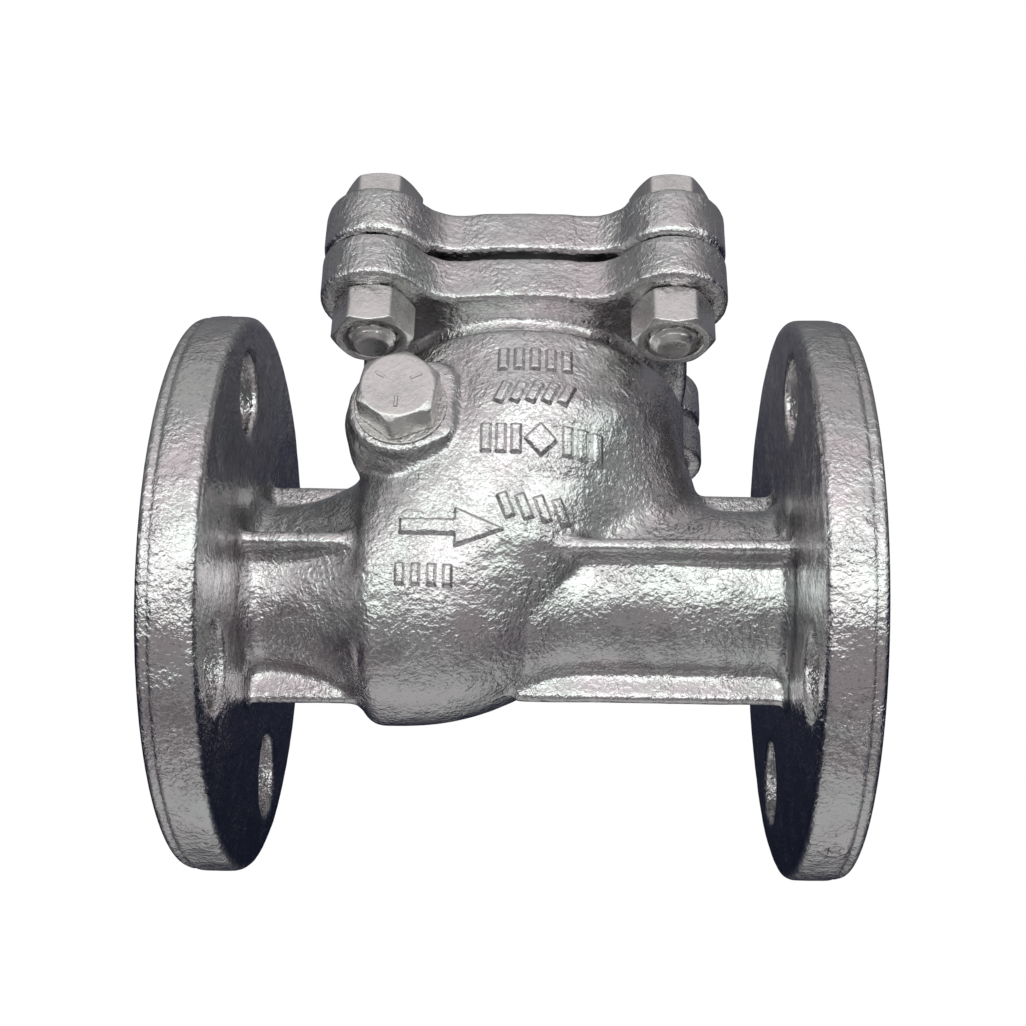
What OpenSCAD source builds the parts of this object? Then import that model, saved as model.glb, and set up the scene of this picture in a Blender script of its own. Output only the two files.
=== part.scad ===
// Flanged swing check valve with a bolted cover.
// Origin: centre of the raised face at the inlet. +X is the flow, +Z is up through the cover.
// All sizes are millimetres.

/* [End flanges] */
// Distance between the two raised faces
face_to_face = 127; // [124:0.5:132]
// Outside diameter of an end flange
flange_d = 108; // [106:0.5:112]
// Thickness of an end flange, raised face included
flange_t = 12.2; // [11:0.1:14]
// Diameter of the raised face
raised_d = 50.8; // [46:0.1:52]
// Height of the raised face
raised_h = 1.6; // [1:0.1:2]
// Pitch circle of the flange bolt holes
flange_pcd = 79.4; // [78:0.1:81]
// Diameter of a flange bolt hole
flange_hole_d = 15.9; // [13:0.1:17]
// Number of bolt holes in a flange
flange_holes = 4; // [4]
// Width of the turned band at the edge of a flange rim
turned_band_w = 2.3; // [1:0.1:4]
// Depth of that band below the cast rim
turned_band_h = 0.35; // [0.1:0.05:0.8]

/* [Body] */
// Diameter of the flow bore
bore_d = 25.4; // [24:0.1:26]
// Outside radius of the neck behind a flange
neck_r = 17; // [16.5:0.1:18]
// Outside radius of the inlet neck where it meets the chamber
inlet_neck_r = 23; // [20:0.1:24]
// Fillet between a neck and its flange
neck_fillet = 3.6; // [2:0.1:5]
// Distance from the flow axis to the outer edge of a rib on the outlet side
rib_reach = 22.5; // [21:0.1:24]
// The same distance on the inlet side
inlet_rib_reach = 23.4; // [21:0.1:24]
// Thickness of a rib
rib_t = 2.8; // [2:0.1:4]
// Largest radius of the chamber about the flow axis
bulb_r = 26; // [25:0.1:27]
// Wall thickness of the chamber
wall_t = 4.6; // [4:0.1:4.8]
// Radius of the upright barrel
barrel_r = 33; // [32:0.1:34]
// Height above the flow axis where the barrel is at its full radius
barrel_low_z = 25; // [22:0.5:27]
// Height of the shoulder at the top of the barrel
shoulder_z = 41.5; // [40:0.5:42]
// Outside radius of the throat under the cover flange
throat_r = 27.6; // [27.2:0.1:28.5]
// Radius of the opening that the cover closes
opening_r = 23.5; // [22.5:0.1:23.8]
// Height of raised marks on the casting
mark_h = 0.8; // [0.5:0.1:1]

/* [Cover joint] */
// Underside of the body's cover flange
cover_flange_z = 47.4; // [46.5:0.1:48]
// Thickness of the body's cover flange
cover_flange_t = 9.7; // [9:0.1:10]
// Thickness of the cover
cover_t = 9.6; // [9:0.1:11]
// Thickness of the gasket under the cover
gasket_t = 1.9; // [1.5:0.1:2.2]
// Bolt position along the flow, from the cover's centre
bolt_half_x = 29; // [28.5:0.1:29.5]
// Bolt position across the flow, from the cover's centre
bolt_half_y = 30.5; // [30:0.1:31]
// Radius of a rounded bolt ear
ear_r = 10.8; // [10.5:0.1:11.5]
// Distance from the cover's centre to a straight side
side_half = 33; // [32:0.1:34]
// Bulge of a side at its middle
side_bulge = 0.9; // [0.5:0.1:1.5]
// Concave radius between an ear and a side
ear_blend = 9; // [6:0.5:10]

/* [Fasteners] */
// Thread diameter of the cover bolts and of the hinge plug
thread_d = 9.5; // [9:0.1:10]
// Width across flats of a hexagon
hex_af = 14.3; // [14:0.1:16]
// Height of a bolt head
head_t = 6.5; // [5.5:0.1:7]
// Height of a nut
nut_t = 8.3; // [8:0.1:8.6]
// Length of thread that stands out below a nut
bolt_stickout = 1.6; // [0.5:0.1:2]
// Clearance hole for a cover bolt
bolt_hole_d = 11.1; // [10.5:0.1:12]

/* [Hinge and disc] */
// Distance of the hinge axis from the middle of the valve, upstream
hinge_back = 21.8; // [21.6:0.1:22]
// Height of the hinge axis above the flow axis
hinge_z = 23; // [22.6:0.1:23.4]
// Diameter of the hinge pin
pin_d = 6; // [6]
// Length of the hinge pin
pin_len = 44.4; // [43:0.1:45]
// Running clearance on the radius of a turning fit
run_gap = 0.06; // [0.04:0.01:0.08]
// Radius of the disc
disc_r = 15.6; // [15:0.1:16]
// Thickness of the disc
disc_t = 4.5; // [4:0.1:5]
// Diameter of the disc's stem
stem_d = 8; // [8]
// Largest opening angle of the disc
open_angle = 75; // [60:1:75]

/* [Hidden] */
$fn = 96;
eps = 0.01;
hull_fn = 48;

// Colours
cast_silver = [0.66, 0.65, 0.66];
cast_inner = [0.42, 0.42, 0.44];
zinc = [0.74, 0.74, 0.76];
stainless = [0.60, 0.60, 0.58];
graphite = [0.16, 0.16, 0.17];
soft_iron = [0.52, 0.50, 0.48];

// Places along the flow
mid_x = face_to_face / 2;
cover_x = mid_x + 0.5;
hinge_x = mid_x - hinge_back;
chamber_x = mid_x - 30;
seat_wall_x = mid_x - 24;
seat_x = seat_wall_x + 1.8;
disc_x = seat_x + 0.05;
disc_back_x = disc_x + disc_t;
waist_x = mid_x - 5.5;

// Radii and heights
flange_r = flange_d / 2;
bore_r = bore_d / 2;
waist_r = 26;
cavity_r = barrel_r - wall_t;
bulb_cavity_r = bulb_r - wall_t - 0.9;
cover_flange_top = cover_flange_z + cover_flange_t;
cover_z = cover_flange_top + gasket_t;
cover_top = cover_z + cover_t;
nut_z = cover_flange_z - nut_t;
bolt_end_z = nut_z - bolt_stickout;
thread_r = thread_d / 2;
hex_corner_r = hex_af / sqrt(3);

// Chamber about the flow axis: a short round at the inlet side, a long one at the outlet side
bulb_round = 4.5;
bulb_sweep_r = 46;
bulb_top_x = mid_x - 21.5;
bulb_sweep_angle = 40;

// Flare where the outlet neck grows out of the chamber, measured from the middle
flare_r = 26;
flare_angle = 27;
flare_x = 14;

// Hinge pad, plug and inner pin bosses
pad_y = 32.7;
pad_w = 20;
pad_h = 18.6;
pad_corner = 4.5;
pad_rise = 1.2;
plug_gasket_t = 0.5;
plug_gasket_r = 8.7;
plug_head_t = 6.5;
plug_thread_len = 9.7;
plug_bore_len = 10.3;
rear_boss_y = 29;
rear_boss_r = 9;
inner_boss_y = 9.6;
inner_boss_r = 5.8;
pin_r = pin_d / 2;

// Swing arm and the disc's fastening
hub_r = 5.2;
hub_half = 9;
web_half = 4.6;
eye_r = 6.6;
eye_x = disc_back_x + 1.2;
eye_len = 6.8;
disc_hub_r = 6;
disc_hub_len = 1;
arm_play = 0.2;
stem_r = stem_d / 2;
washer_x = eye_x + eye_len + arm_play;
washer_t = 1.5;
washer_r = 8;
disc_nut_x = washer_x + washer_t;
disc_nut_t = 6.5;
disc_nut_af = 13;
split_x = disc_nut_x + disc_nut_t + 1.5;
split_r = 0.95;
stem_end_x = split_x + 2.4;

// Seat ring
seat_ring_r = 16;
seat_ring_depth = 3.2;

// Stop lug under the cover, where the stem's end arrives at the largest angle
stop_dx = stem_end_x - hinge_x;
stop_x = hinge_x + stop_dx * cos(open_angle) + hinge_z * sin(open_angle);
stop_z = hinge_z + stop_dx * sin(open_angle) - hinge_z * cos(open_angle)
    + stem_r * cos(open_angle) + 0.35;
stop_r = 5;
spigot_r = opening_r - 0.3;
spigot_h = 3.2;
ear_pad_t = gasket_t - 0.6;
dish_r = 19;
dish_h = 2.5;

// Points of a round stretch
function arc(cx, cy, r, a0, a1, n = 12) =
    [for (i = [0:n]) [cx + r * cos(a0 + (a1 - a0) * i / n), cy + r * sin(a0 + (a1 - a0) * i / n)]];

// Turns a shape made about Z so that it lies about the flow axis
module along_flow(x) {
    translate([x, 0, 0])
        rotate([0, 90, 0])
            children();
}

// The same shape at both flanges, facing outwards
module both_ends() {
    children();
    translate([face_to_face, 0, 0])
        mirror([1, 0, 0])
            children();
}

// A copy at each of the four cover bolts
module at_bolt(sx, sy) {
    translate([cover_x + sx * bolt_half_x, sy * bolt_half_y, 0])
        children();
}

// Hexagonal prism about Z with both ends turned to a chamfer
module hex_prism(af, h, chamfer_low, chamfer_high) {
    corner = af / sqrt(3);
    drop = 0.95 * (corner - af / 2);
    intersection() {
        cylinder(r = corner, h = h, $fn = 6);
        rotate_extrude()
            polygon([
                [0, 0],
                [corner - (chamfer_low ? 2 * drop : 0), 0],
                [corner, chamfer_low ? drop : 0],
                [corner, h - (chamfer_high ? drop : 0)],
                [corner - (chamfer_high ? 2 * drop : 0), h],
                [0, h]
            ]);
    }
}

// Raised face, rim with its turned band, and the fillet that leads to the neck
module end_flange() {
    along_flow(0)
        rotate_extrude()
            polygon(concat(
                [
                    [0, 0],
                    [raised_d / 2 - 0.5, 0],
                    [raised_d / 2, 0.5],
                    [raised_d / 2, raised_h],
                    [flange_r - turned_band_h - 0.6, raised_h],
                    [flange_r - turned_band_h, raised_h + 0.6],
                    [flange_r - turned_band_h, raised_h + turned_band_w],
                    [flange_r, raised_h + turned_band_w + 0.3]
                ],
                arc(flange_r - 1.2, flange_t - 1.2, 1.2, 0, 90, 6),
                arc(neck_r + neck_fillet, flange_t + neck_fillet, neck_fillet, 270, 180, 10),
                [[0, flange_t + neck_fillet]]
            ));
}

// Necks and the ribs that stiffen them
module necks() {
    start = flange_t + neck_fillet;
    run = chamber_x - start;
    rise = inlet_neck_r - neck_r;
    sweep_r = (run * run + rise * rise) / (2 * rise);
    along_flow(0)
        rotate_extrude()
            polygon(concat(
                [[0, start - eps], [neck_r, start - eps]],
                arc(neck_r + sweep_r, start, sweep_r, 180, 180 - asin(run / sweep_r), 10),
                [[inlet_neck_r, chamber_x + 2], [0, chamber_x + 2]]
            ));
    along_flow(mid_x)
        rotate_extrude()
            polygon(concat(
                [[0, 0]],
                [[flare_r * (1 - cos(flare_angle)) + neck_r, 0]],
                arc(neck_r + flare_r, flare_x, flare_r, 180 + flare_angle, 180, 12),
                [[neck_r, mid_x - start + eps], [0, mid_x - start + eps]]
            ));
}

module ribs() {
    inlet_len = chamber_x - flange_t + 6;
    outlet_len = mid_x - flange_t;
    for (a = [0:90:270])
        rotate([a, 0, 0]) {
            translate([flange_t - eps, -rib_t / 2, 0])
                cube([inlet_len, rib_t, inlet_rib_reach]);
            translate([mid_x, -rib_t / 2, 0])
                cube([outlet_len + eps, rib_t, rib_reach]);
        }
}

// Outline of the chamber in (radius, flow) coordinates
function bulb_outline(r, x_left, round_r, sweep_r) = concat(
    [[0, x_left]],
    arc(r - round_r, x_left + round_r, round_r, 270, 360, 8),
    arc(r - sweep_r, bulb_top_x, sweep_r, 0, bulb_sweep_angle, 12),
    [[0, bulb_top_x + sweep_r * sin(bulb_sweep_angle)]]
);

module bulb(r, x_left, round_r, sweep_r) {
    rotate([0, 90, 0])
        rotate_extrude($fn = hull_fn)
            polygon(bulb_outline(r, x_left, round_r, sweep_r));
}

// Barrel, waist and chamber as one rounded casting; grow moves the surface outwards
module chamber(grow = 0) {
    hull() {
        translate([cover_x, 0, barrel_low_z])
            cylinder(r = barrel_r + grow, h = shoulder_z - 1.5 - barrel_low_z, $fn = hull_fn);
        translate([waist_x, 0, -0.5])
            cylinder(r = waist_r + grow, h = 1, $fn = hull_fn);
        bulb(bulb_r + grow, chamber_x - grow, bulb_round, bulb_sweep_r);
    }
}

// Rounded shoulder and throat between the barrel and the cover flange
module shoulder() {
    throat_fillet = 2.5;
    translate([cover_x, 0, 0])
        rotate_extrude()
            polygon(concat(
                [[0, barrel_low_z + 5]],
                [[barrel_r, barrel_low_z + 5]],
                arc(barrel_r - 2.4, shoulder_z - 2.4, 2.4, 0, 75, 6),
                arc(throat_r + 1.6, shoulder_z + 2.6, 1.6, 255, 180, 6),
                arc(throat_r + throat_fillet, cover_flange_z - throat_fillet, throat_fillet, 180, 90, 6),
                [[0, cover_flange_z + 1]]
            ));
}

// Outline of the cover joint: straight sides with a slight bulge, four ears, concave blends
module joint_outline() {
    bulge_r = 90;
    offset(r = -ear_blend)
        offset(delta = ear_blend) {
            square([2 * side_half, 2 * side_half], center = true);
            for (sx = [-1, 1], sy = [-1, 1])
                translate([sx * bolt_half_x, sy * bolt_half_y])
                    circle(r = ear_r, $fn = 64);
            for (a = [0:90:270])
                rotate(a)
                    intersection() {
                        translate([side_half + side_bulge - bulge_r, 0])
                            circle(r = bulge_r, $fn = 256);
                        translate([0, -side_half / 2])
                            square([side_half + side_bulge, side_half]);
                    }
        }
}

// One plate of the cover joint
module joint_plate(t) {
    linear_extrude(height = t)
        joint_outline();
}

// Low pads under the cover's ears, which nearly close the gap at the bolts
module ear_pads() {
    for (sx = [-1, 1], sy = [-1, 1])
        at_bolt(sx, sy)
            translate([0, 0, cover_z - ear_pad_t])
                cylinder(r = ear_r - 0.6, h = ear_pad_t + 1);
}

// Pad that the hinge plug tightens against: round towards the inlet, square towards the barrel
module hinge_pad() {
    depth = 14;
    corner = pad_w / 2 - pad_corner;
    translate([hinge_x, -pad_y, hinge_z])
        rotate([-90, 0, 0])
            hull() {
                cylinder(r = pad_w / 2, h = depth, $fn = 48);
                for (s = [-1, 1])
                    translate([corner, s * (pad_h / 2 - pad_corner) - pad_rise, 0])
                        cylinder(r = pad_corner, h = depth, $fn = 32);
            }
}

// Blind boss at the other end of the hinge pin
module rear_boss() {
    translate([hinge_x, 12, hinge_z])
        rotate([-90, 0, 0])
            cylinder(r = rear_boss_r, h = rear_boss_y - 12);
}

// Flow arrow, drawn in the plane of the flow
module arrow_outline() {
    tail_len = 10;
    tail_half = 1.2;
    head_len = 8.5;
    head_half = 3.3;
    polygon([
        [0, -tail_half], [tail_len, -tail_half], [tail_len, -head_half],
        [tail_len + head_len, 0],
        [tail_len, head_half], [tail_len, tail_half], [0, tail_half]
    ]);
}

// A row of equal plain bars; lean tilts them
module bar_row(count, pitch, w, h, lean = 0) {
    for (i = [0:count - 1])
        translate([(i + 0.5) * pitch, h / 2])
            rotate(lean)
                square([w, h], center = true);
}

// Plain raised marks: an arrow for the flow, and bars and a lozenge that carry no words
module mark_outlines() {
    stroke = 1.5;
    translate([mid_x - 21, 0.5])
        arrow_outline();
    translate([mid_x - 4.4, 31.2])
        bar_row(5, 3, stroke, 4.4);
    translate([mid_x - 4.4, 24])
        bar_row(5, 3, stroke, 4.2, -24);
    translate([mid_x - 7.2, 14.6])
        bar_row(3, 2.8, stroke, 5);
    translate([mid_x + 4.4, 17.2])
        rotate(45)
            square(4, center = true);
    translate([mid_x + 8, 14.9])
        bar_row(3, 2.8, stroke, 5);
    translate([mid_x - 3.6, 2.8])
        bar_row(4, 3.4, stroke, 4.2, 24);
    translate([mid_x - 22.4, -9.8])
        bar_row(4, 2.9, 1.2, 3.4);
}

module marks() {
    intersection() {
        translate([0, -12, 0])
            rotate([90, 0, 0])
                linear_extrude(height = barrel_r)
                    mark_outlines();
        chamber(mark_h);
    }
}

// Space inside the chamber, from the seat wall to the outlet bore
module cavity() {
    hull() {
        translate([cover_x, 0, barrel_low_z])
            cylinder(r = cavity_r, h = 14, $fn = hull_fn);
        translate([waist_x, 0, -0.5])
            cylinder(r = bulb_cavity_r - 0.3, h = 1, $fn = hull_fn);
        bulb(bulb_cavity_r, seat_wall_x, 2.5, bulb_sweep_r);
    }
    // Room for the arm's hub to turn
    translate([hinge_x, 0, hinge_z])
        rotate([90, 0, 0])
            cylinder(r = hub_r + 0.7, h = 2 * inner_boss_y, center = true);
    translate([cover_x, 0, 0])
        rotate_extrude()
            polygon([
                [0, barrel_low_z + 4],
                [cavity_r - 1, barrel_low_z + 4],
                [cavity_r - 1, shoulder_z - 3.4],
                [opening_r, shoulder_z],
                [opening_r, cover_flange_top + 1],
                [0, cover_flange_top + 1]
            ]);
}

// Bosses inside the barrel that carry the hinge pin
module inner_bosses() {
    boss_len = 12;
    for (s = [-1, 1])
        translate([hinge_x, s * (inner_boss_y + boss_len / 2), hinge_z])
            rotate([90, 0, 0])
                cylinder(r = inner_boss_r, h = boss_len, center = true);
}

module body_bores() {
    // Flow bore on each side of the chamber
    along_flow(-1)
        cylinder(r = bore_r, h = seat_wall_x + 2);
    along_flow(mid_x)
        cylinder(r = bore_r, h = mid_x + 1);
    // Seat ring pocket
    along_flow(seat_wall_x - seat_ring_depth)
        cylinder(r = seat_ring_r + 0.02, h = seat_ring_depth + 1.8);
    // Flange bolt holes
    both_ends()
        along_flow(-1)
            for (i = [0:flange_holes - 1])
                rotate([0, 0, (i + 0.5) * 360 / flange_holes])
                    translate([flange_pcd / 2, 0, 0])
                        cylinder(d = flange_hole_d, h = flange_t + 2);
    // Cover bolt holes, and the flats cut for the nuts
    for (sx = [-1, 1], sy = [-1, 1])
        at_bolt(sx, sy) {
            translate([0, 0, cover_flange_z - 1])
                cylinder(d = bolt_hole_d, h = cover_flange_t + 2);
            translate([0, 0, bolt_end_z - 1.5])
                cylinder(r = hex_corner_r + 0.35, h = cover_flange_z - bolt_end_z + 1.5);
        }
    // Hinge pin bore, blind at the rear, and the plug's bore at the front
    translate([hinge_x, -pad_y + plug_bore_len - eps, hinge_z])
        rotate([-90, 0, 0])
            cylinder(r = pin_r + run_gap, h = pin_len + 0.8);
    translate([hinge_x, -pad_y - 1, hinge_z])
        rotate([-90, 0, 0])
            cylinder(r = thread_r + 0.02, h = plug_bore_len + 1);
}

module body() {
    color(cast_silver)
        difference() {
            union() {
                difference() {
                    union() {
                        both_ends()
                            end_flange();
                        necks();
                        ribs();
                        chamber();
                        shoulder();
                        hinge_pad();
                        rear_boss();
                        marks();
                        translate([cover_x, 0, cover_flange_z])
                            joint_plate(cover_flange_t);
                    }
                    cavity();
                }
                inner_bosses();
            }
            body_bores();
        }
}

module seat_ring() {
    color(stainless)
        along_flow(seat_wall_x - seat_ring_depth + 0.02)
            rotate_extrude() {
                len = seat_x - seat_wall_x + seat_ring_depth - 0.02;
                polygon([
                    [bore_r, 0],
                    [seat_ring_r, 0],
                    [seat_ring_r, len - 1],
                    [seat_ring_r - 1, len],
                    [bore_r + 0.4, len],
                    [bore_r, len - 0.4]
                ]);
            }
}

module bonnet_gasket() {
    color(graphite)
        translate([cover_x, 0, cover_flange_top])
            difference() {
                cylinder(r = 30.5, h = gasket_t);
                translate([0, 0, -1])
                    cylinder(r = opening_r + 0.4, h = gasket_t + 2);
            }
}

module bonnet_cover() {
    dome_r = 24;
    dome_h = 2.4;
    color(cast_silver)
        difference() {
            union() {
                translate([cover_x, 0, cover_z])
                    joint_plate(cover_t);
                ear_pads();
                translate([cover_x, 0, cover_z - spigot_h])
                    cylinder(r = spigot_r, h = spigot_h + 1);
                translate([stop_x, 0, stop_z])
                    cylinder(r = stop_r, h = cover_z + 4 - stop_z);
                translate([cover_x, 0, 0])
                    rotate_extrude()
                        polygon(concat(
                            [[0, cover_top - 2]],
                            [[dome_r + 1.6, cover_top - 2]],
                            [[dome_r + 1.6, cover_top]],
                            arc(dome_r, cover_top + dome_h - 1.6, 1.6, 30, 90, 6),
                            [[0, cover_top + dome_h + 0.6]]
                        ));
            }
            translate([cover_x, 0, 0])
                difference() {
                    translate([0, 0, cover_z - spigot_h - 1])
                        cylinder(r = dish_r, h = spigot_h + dish_h + 1);
                    translate([stop_x - cover_x, 0, 0])
                        cylinder(r = stop_r, h = cover_top);
                }
            for (sx = [-1, 1], sy = [-1, 1])
                at_bolt(sx, sy)
                    translate([0, 0, cover_z - 3])
                        cylinder(d = bolt_hole_d, h = cover_t + 6);
        }
}

// Hexagon bolt, head up, with a chamfered end
module cover_bolt(sx, sy) {
    color(zinc)
        at_bolt(sx, sy) {
            translate([0, 0, cover_top])
                hex_prism(hex_af, head_t, false, true);
            translate([0, 0, bolt_end_z])
                cylinder(r1 = thread_r - 1.4, r2 = thread_r, h = 1.4);
            translate([0, 0, bolt_end_z + 1.4])
                cylinder(r = thread_r, h = cover_top + 1 - bolt_end_z - 1.4);
        }
}

// Nut with a countersink at each end of its thread
module cover_nut(sx, sy) {
    countersink = 0.8;
    color(zinc)
        at_bolt(sx, sy)
            translate([0, 0, nut_z])
                difference() {
                    hex_prism(hex_af, nut_t, true, true);
                    translate([0, 0, -1])
                        cylinder(r = thread_r + 0.02, h = nut_t + 2);
                    translate([0, 0, -eps])
                        cylinder(r1 = thread_r + countersink, r2 = thread_r, h = countersink);
                    translate([0, 0, nut_t - countersink + eps])
                        cylinder(r1 = thread_r, r2 = thread_r + countersink, h = countersink);
                }
}

module hinge_plug() {
    head_y = pad_y + plug_gasket_t;
    color(zinc)
        translate([hinge_x, -head_y, hinge_z])
            rotate([90, 0, 0]) {
                rotate([0, 0, 27])
                    hex_prism(hex_af, plug_head_t, false, true);
                translate([0, 0, -plug_thread_len - plug_gasket_t])
                    cylinder(r = thread_r, h = plug_thread_len + plug_gasket_t + 1);
            }
}

module plug_gasket() {
    color(soft_iron)
        translate([hinge_x, -pad_y, hinge_z])
            rotate([90, 0, 0])
                difference() {
                    cylinder(r = plug_gasket_r, h = plug_gasket_t);
                    translate([0, 0, -1])
                        cylinder(r = thread_r + 0.1, h = plug_gasket_t + 2);
                }
}

module hinge_pin() {
    bevel = 0.6;
    color(stainless)
        translate([hinge_x, -pad_y + plug_bore_len + 0.3, hinge_z])
            rotate([-90, 0, 0])
                rotate_extrude()
                    polygon([
                        [0, 0],
                        [pin_r - bevel, 0],
                        [pin_r, bevel],
                        [pin_r, pin_len - bevel],
                        [pin_r - bevel, pin_len],
                        [0, pin_len]
                    ]);
}

// Arm: a hub on the hinge pin, a bent web, and an eye that carries the stem
module hinge_arm() {
    web_top = hinge_z + 2.4;
    web_right = eye_x + eye_len - 0.6;
    color(cast_inner)
        difference() {
            union() {
                translate([hinge_x, 0, hinge_z])
                    rotate([90, 0, 0])
                        cylinder(r = hub_r, h = 2 * hub_half, center = true);
                rotate([90, 0, 0])
                    linear_extrude(height = 2 * web_half, center = true)
                        polygon([
                            [hinge_x - 1, web_top + 2.2],
                            [hinge_x + 5, web_top + 1.2],
                            [web_right - 1, web_top - 5],
                            [web_right, web_top - 8],
                            [web_right, 0],
                            [eye_x, 0],
                            [eye_x, disc_r + 1.9],
                            [hinge_x, disc_r + 1.9]
                        ]);
                along_flow(eye_x)
                    cylinder(r = eye_r, h = eye_len);
            }
            translate([hinge_x, 0, hinge_z])
                rotate([90, 0, 0])
                    cylinder(r = pin_r + run_gap, h = 2 * hub_half + 2, center = true);
            along_flow(eye_x - 1)
                cylinder(r = stem_r + run_gap, h = eye_len + 2);
        }
}

// Disc with its stem; the face towards the seat has a turned sealing band
module disc() {
    band_h = 0.6;
    inner_face_r = bore_r - 1.2;
    color(stainless)
        difference() {
            along_flow(disc_x)
                rotate_extrude()
                    polygon([
                        [0, band_h],
                        [inner_face_r, band_h],
                        [inner_face_r, 0],
                        [disc_r - 0.5, 0],
                        [disc_r, 0.5],
                        [disc_r, disc_t - 1.6],
                        [disc_r - 1.6, disc_t],
                        [disc_hub_r, disc_t],
                        [disc_hub_r, disc_t + disc_hub_len],
                        [stem_r, disc_t + disc_hub_len],
                        [stem_r, stem_end_x - disc_x - 1],
                        [stem_r - 1, stem_end_x - disc_x],
                        [0, stem_end_x - disc_x]
                    ]);
            translate([split_x, 0, 0])
                rotate([90, 0, 0])
                    cylinder(r = split_r + 0.1, h = 3 * stem_r, center = true);
        }
}

module disc_washer() {
    color(stainless)
        along_flow(washer_x)
            difference() {
                cylinder(r = washer_r, h = washer_t);
                translate([0, 0, -1])
                    cylinder(r = stem_r + 0.2, h = washer_t + 2);
            }
}

module disc_nut() {
    color(stainless)
        along_flow(disc_nut_x)
            difference() {
                hex_prism(disc_nut_af, disc_nut_t, false, true);
                translate([0, 0, -1])
                    cylinder(r = stem_r + 0.02, h = disc_nut_t + 2);
            }
}

// Split pin through the stem: a ring head and two spread legs
module split_pin() {
    head_ring_r = 1.9;
    leg_len = 2 * stem_r + 1.6;
    color(stainless)
        translate([split_x, 0, 0]) {
            rotate([90, 0, 0])
                cylinder(r = split_r, h = leg_len, center = true);
            translate([0, -leg_len / 2 - head_ring_r + 0.5, 0])
                rotate([0, 90, 0])
                    rotate_extrude()
                        translate([head_ring_r - split_r / 2, 0])
                            circle(r = split_r * 0.7, $fn = 24);
            for (s = [-1, 1])
                translate([0, leg_len / 2 - 0.4, 0])
                    rotate([-90 - s * 28, 0, 0])
                        cylinder(r = split_r * 0.62, h = 2.6);
        }
}

body();
seat_ring();
bonnet_gasket();
bonnet_cover();
cover_bolt(-1, -1);  // cover_bolt_front_left
cover_bolt(1, -1);  // cover_bolt_front_right
cover_bolt(-1, 1);  // cover_bolt_rear_left
cover_bolt(1, 1);  // cover_bolt_rear_right
cover_nut(-1, -1);  // cover_nut_front_left
cover_nut(1, -1);  // cover_nut_front_right
cover_nut(-1, 1);  // cover_nut_rear_left
cover_nut(1, 1);  // cover_nut_rear_right
hinge_plug();
plug_gasket();
hinge_pin();
hinge_arm();
disc();
disc_washer();
disc_nut();
split_pin();
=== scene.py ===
import math

import bmesh
import bpy
import numpy as np
from mathutils import Matrix, Vector, noise
from mathutils.bvhtree import BVHTree


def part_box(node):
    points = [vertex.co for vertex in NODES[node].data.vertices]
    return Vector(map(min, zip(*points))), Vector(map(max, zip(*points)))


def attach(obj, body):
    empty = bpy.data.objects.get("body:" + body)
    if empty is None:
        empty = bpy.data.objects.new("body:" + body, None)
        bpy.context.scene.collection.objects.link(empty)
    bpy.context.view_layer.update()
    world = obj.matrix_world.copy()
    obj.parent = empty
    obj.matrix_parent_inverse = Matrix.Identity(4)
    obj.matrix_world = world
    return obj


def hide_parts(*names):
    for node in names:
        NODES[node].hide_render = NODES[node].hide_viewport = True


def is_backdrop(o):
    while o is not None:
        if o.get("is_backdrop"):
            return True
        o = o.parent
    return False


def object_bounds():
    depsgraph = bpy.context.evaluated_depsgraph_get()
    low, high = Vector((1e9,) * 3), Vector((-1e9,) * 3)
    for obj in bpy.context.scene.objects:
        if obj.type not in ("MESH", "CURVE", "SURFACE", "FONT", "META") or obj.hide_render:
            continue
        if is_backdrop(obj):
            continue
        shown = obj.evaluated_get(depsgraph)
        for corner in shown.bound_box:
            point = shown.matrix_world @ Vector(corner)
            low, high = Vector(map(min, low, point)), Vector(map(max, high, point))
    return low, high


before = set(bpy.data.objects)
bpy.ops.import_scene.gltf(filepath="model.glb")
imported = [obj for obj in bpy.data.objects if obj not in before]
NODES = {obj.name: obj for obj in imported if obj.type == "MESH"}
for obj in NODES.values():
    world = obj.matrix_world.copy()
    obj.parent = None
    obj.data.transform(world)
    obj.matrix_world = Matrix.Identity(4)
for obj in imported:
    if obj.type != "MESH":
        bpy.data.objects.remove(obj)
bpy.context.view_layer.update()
MM = 0.001

# ---------------------------------------------------------------- sizes, in millimetres
# The CAD's own, apart from the thread's pitch (the CAD's threads are plain) and the flaws
BODY_LOW, BODY_HIGH = (Vector(v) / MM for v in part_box("body"))
MID_X = (BODY_LOW.x + BODY_HIGH.x) / 2
COVER_X = MID_X + 0.5
BARREL_R = 33.0
CHAMBER_R = 26.0
CHAMBER_ROUND = 4.5
CHAMBER_NOSE_R = 46
BORE_R = 12.7
RAISED_R = 25.4
RAISED_H = 1.6
FLANGE_R = 54.0
FLANGE_T = 12.2
HOLE_R = 7.95
HOLE_CIRCLE_R = 39.7
BAND_W = 2.3
BAND_H = 0.35
THREAD_R = 4.75
THREAD_PITCH = 1.5
HEX_AF = 14.3
HEAD_H = 6.5
MARK_H = 0.8
# small casting flaws on the flange rims: centre, size, depth, height of the lip
FLAWS = (((120.1, -9.3, -53.2), 1.9, 0.45, 0.30), ((1.9, -53.9, -2.6), 0.9, 0.55, 0.05),
         ((122.5, -52.9, -11.0), 1.5, 0.30, 0.10), ((6.0, -30.0, 44.9), 1.2, 0.35, 0.10))

# Offsets of the castings, one after another: the first is the size of the fillets in concave
# corners, the second takes it back and a little further, the last is the round of convex edges
BODY_STEPS = (0.8, -1.1, 0.3)
COVER_STEPS = (1.2, -2.0, 0.8)
ARM_STEPS = (0.8, -1.3, 0.5)
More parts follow.
